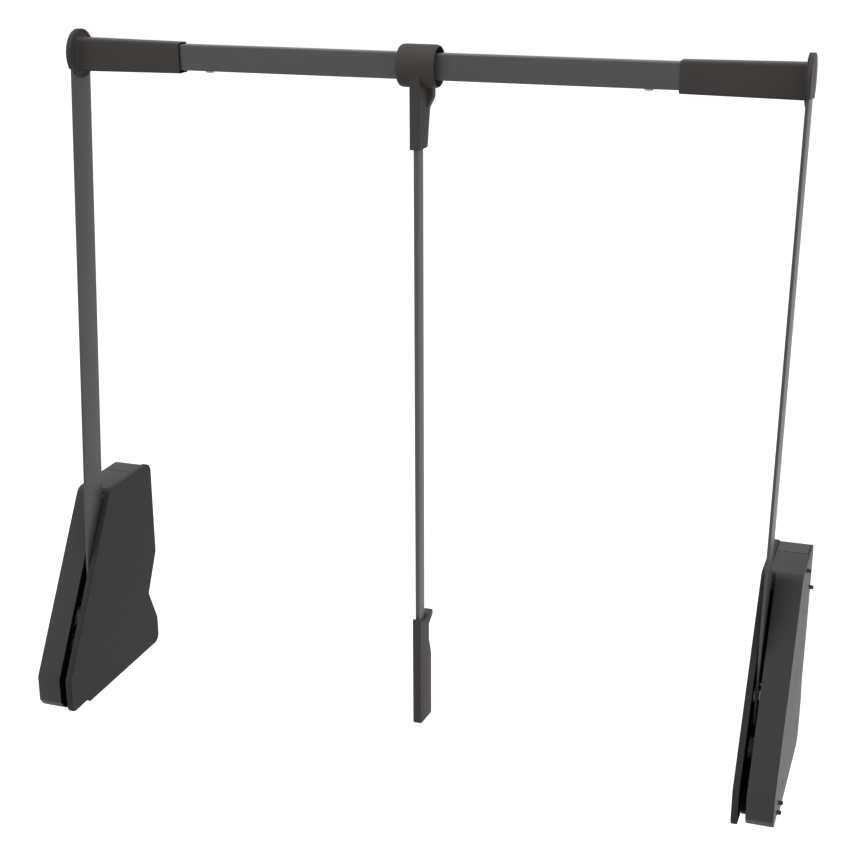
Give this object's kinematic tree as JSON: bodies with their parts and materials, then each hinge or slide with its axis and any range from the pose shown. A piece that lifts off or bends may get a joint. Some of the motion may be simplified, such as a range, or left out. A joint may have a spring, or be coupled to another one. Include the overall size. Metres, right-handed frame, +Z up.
{
  "type": "wardrobe lift",
  "caption": "Pull-down closet rod: a telescopic rail on sprung, damped arms in side housings, with a hanging pull handle.",
  "frame": {"origin": "point of the left arm's pivot axis on the left wall face of the left housing, at the narrow width shown", "axes": "+X from the left wall face to the right wall face, -Y is the front (the side the rail is pulled down to), +Z up; rest pose raised"},
  "size_m": [0.922, 0.2441, 0.8329],
  "materials": {
    "housing_plastic": "fine grain, satin",
    "cover_plastic": "fine grain, satin",
    "trim_plastic": "satin",
    "peg_plastic": "matte black",
    "gear_plastic": "smooth, off-white",
    "painted_steel": "dark grey powder coat, semi-gloss",
    "steel": "bright zinc plate",
    "rubber": "grey, matte"
  },
  "bodies": {
    "left_housing": {"left_body_shell": "housing_plastic", "left_front_shroud": "housing_plastic", "left_inner_cover": "cover_plastic", "left_wall_peg_1": "peg_plastic", "left_wall_peg_2": "peg_plastic", "left_wall_peg_3": "peg_plastic", "left_wall_peg_4": "peg_plastic", "left_pivot_axle": "steel", "left_thrust_washer": "steel", "left_inner_bush": "steel", "left_guide_rod": "steel", "left_return_spring": "steel", "left_damper_body": "gear_plastic", "left_lowered_stop_buffer": "rubber", "left_raised_stop_buffer": "rubber"},
    "left_arm_set": {"left_arm": "painted_steel", "left_hub_gear": "steel", "left_hub_rivet_1": "steel", "left_hub_rivet_2": "steel", "left_end_cap": "trim_plastic", "left_arm_screw_1": "steel", "left_arm_screw_2": "steel", "left_rail_end_sleeve": "trim_plastic", "left_inner_rail": "steel"},
    "left_rack": {"left_gear_rack": "gear_plastic"},
    "left_damper": {"left_damper_pinion": "gear_plastic"},
    "right_housing": {"right_body_shell": "housing_plastic", "right_front_shroud": "housing_plastic", "right_inner_cover": "cover_plastic", "right_wall_peg_1": "peg_plastic", "right_wall_peg_2": "peg_plastic", "right_wall_peg_3": "peg_plastic", "right_wall_peg_4": "peg_plastic", "right_pivot_axle": "steel", "right_thrust_washer": "steel", "right_inner_bush": "steel", "right_guide_rod": "steel", "right_return_spring": "steel", "right_damper_body": "gear_plastic", "right_lowered_stop_buffer": "rubber", "right_raised_stop_buffer": "rubber"},
    "right_arm_set": {"right_arm": "painted_steel", "right_hub_gear": "steel", "right_hub_rivet_1": "steel", "right_hub_rivet_2": "steel", "right_end_cap": "trim_plastic", "right_arm_screw_1": "steel", "right_arm_screw_2": "steel", "right_rail_end_sleeve": "trim_plastic", "right_inner_rail": "steel"},
    "right_rack": {"right_gear_rack": "gear_plastic"},
    "right_damper": {"right_damper_pinion": "gear_plastic"},
    "rail": {"rail_tube": "painted_steel", "clamp_screw_1": "steel", "clamp_screw_2": "steel", "handle_bush": "peg_plastic"},
    "handle": {"handle_collar": "trim_plastic", "handle_bar": "painted_steel", "handle_grip": "trim_plastic"}
  },
  "joints": [
    {"name": "arm_swing", "type": "hinge", "parent": "left_housing", "child": "left_arm_set", "pos_m": [0.0362, 0, 0], "axis": [1, 0, 0], "range_deg": [0, 115], "stiffness_Nm_per_rad": 9, "springref_deg": -20.05},
    {"name": "width_slide", "type": "slide", "parent": "left_housing", "child": "right_housing", "axis": [1, 0, 0], "range_m": [-0.052, 0.146]},
    {"name": "right_arm_swing", "type": "hinge", "parent": "right_housing", "child": "right_arm_set", "pos_m": [0.8758, 0, 0], "axis": [1, 0, 0], "range_deg": [0, 115]},
    {"name": "rail_slide", "type": "slide", "parent": "left_arm_set", "child": "rail", "axis": [1, 0, 0], "range_m": [-0.026, 0.073]},
    {"name": "handle_swing", "type": "hinge", "parent": "rail", "child": "handle", "pos_m": [0.456, 0.05883, 0.67243], "axis": [1, 0, 0], "range_deg": [-160, 45]},
    {"name": "left_rack_slide", "type": "slide", "parent": "left_housing", "child": "left_rack", "axis": [0, 0, 1], "range_m": [0, 0.0393], "deforming": ["left_return_spring"]},
    {"name": "left_damper_spin", "type": "hinge", "parent": "left_housing", "child": "left_damper", "pos_m": [0.02635, -0.02133, -0.0189], "axis": [1, 0, 0], "range_deg": [-250, 0]},
    {"name": "right_rack_slide", "type": "slide", "parent": "right_housing", "child": "right_rack", "axis": [0, 0, 1], "range_m": [0, 0.0393], "deforming": ["right_return_spring"]},
    {"name": "right_damper_spin", "type": "hinge", "parent": "right_housing", "child": "right_damper", "pos_m": [0.88565, -0.02133, -0.0189], "axis": [1, 0, 0], "range_deg": [-250, 0]}
  ],
  "couplings": [
    {"joint": "right_arm_swing", "follows": "arm_swing", "ratio": 1},
    {"joint": "rail_slide", "follows": "width_slide", "ratio": 0.5},
    {"joint": "left_rack_slide", "follows": "arm_swing", "m_per_rad": 0.0195},
    {"joint": "left_damper_spin", "follows": "arm_swing", "ratio": -2.1667},
    {"joint": "right_rack_slide", "follows": "arm_swing", "m_per_rad": 0.0195},
    {"joint": "right_damper_spin", "follows": "arm_swing", "ratio": -2.1667}
  ]
}
